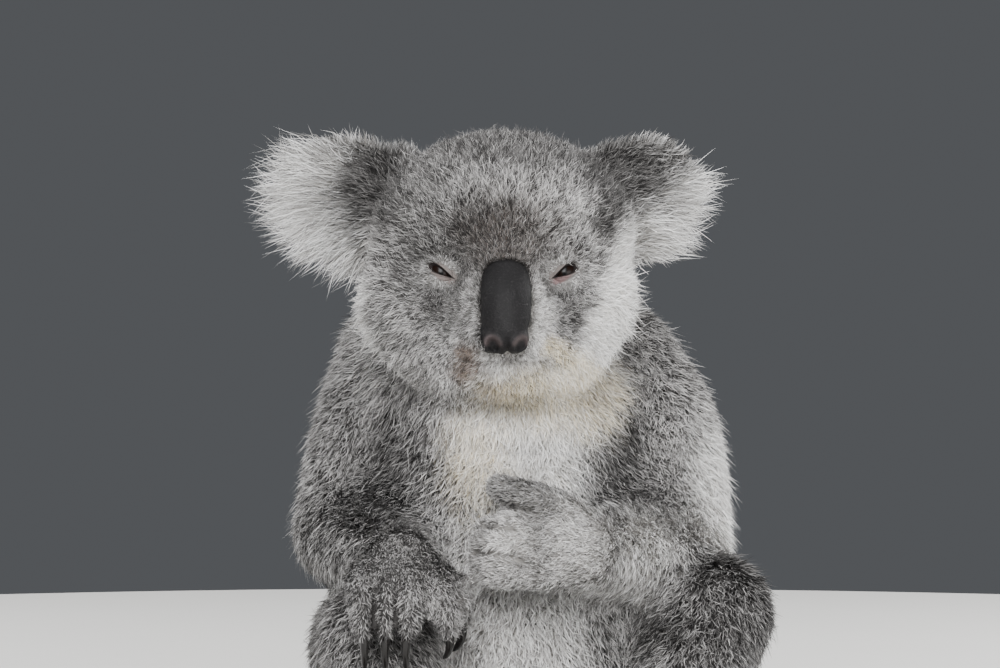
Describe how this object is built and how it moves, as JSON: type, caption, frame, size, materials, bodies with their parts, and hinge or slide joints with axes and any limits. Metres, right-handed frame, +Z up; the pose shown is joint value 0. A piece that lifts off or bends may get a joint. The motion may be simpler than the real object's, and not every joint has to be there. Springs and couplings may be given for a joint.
{
  "type": "koala model",
  "caption": "Life-size still model of a seated koala: head bowed, shaggy round ears, half-closed eyes, left paw closed as if round a stem, right paw laid on the knee",
  "frame": {"origin": "on the floor plane, under the seat of the rump, on the flat that the animal sits on", "axes": "+Z up, -Y the way the animal faces, +X its own left"},
  "size_m": [0.2853, 0.2995, 0.3639],
  "materials": {
    "grey_coat": "dense mottled silver-grey fur",
    "pale_coat": "long white ear fur with a grey rim",
    "dark_coat": "short grey fur of the paws",
    "nose_leather": "bare black leathery skin, finely grained",
    "claw_horn": "black polished horn",
    "eye_surface": "wet dark brown eye"
  },
  "bodies": {
    "root": {"head": "grey_coat", "neck": "grey_coat", "trunk": "grey_coat", "ear_l": "pale_coat", "ear_r": "pale_coat", "nose": "nose_leather", "eye_l": "eye_surface", "eye_r": "eye_surface", "upper_arm_l": "grey_coat", "upper_arm_r": "grey_coat", "forearm_l": "grey_coat", "forearm_r": "grey_coat", "hand_l": "dark_coat", "hand_r": "dark_coat", "thigh_l": "grey_coat", "thigh_r": "grey_coat", "shin_l": "grey_coat", "shin_r": "grey_coat", "foot_l": "dark_coat", "foot_r": "dark_coat", "hand_l_claw_1": "claw_horn", "hand_l_claw_2": "claw_horn", "hand_l_claw_3": "claw_horn", "hand_l_claw_4": "claw_horn", "hand_l_claw_5": "claw_horn", "hand_r_claw_1": "claw_horn", "hand_r_claw_2": "claw_horn", "hand_r_claw_3": "claw_horn", "hand_r_claw_4": "claw_horn", "hand_r_claw_5": "claw_horn", "foot_l_claw_1": "claw_horn", "foot_l_claw_2": "claw_horn", "foot_l_claw_3": "claw_horn", "foot_l_claw_4": "claw_horn", "foot_r_claw_1": "claw_horn", "foot_r_claw_2": "claw_horn", "foot_r_claw_3": "claw_horn", "foot_r_claw_4": "claw_horn"}
  },
  "joints": []
}
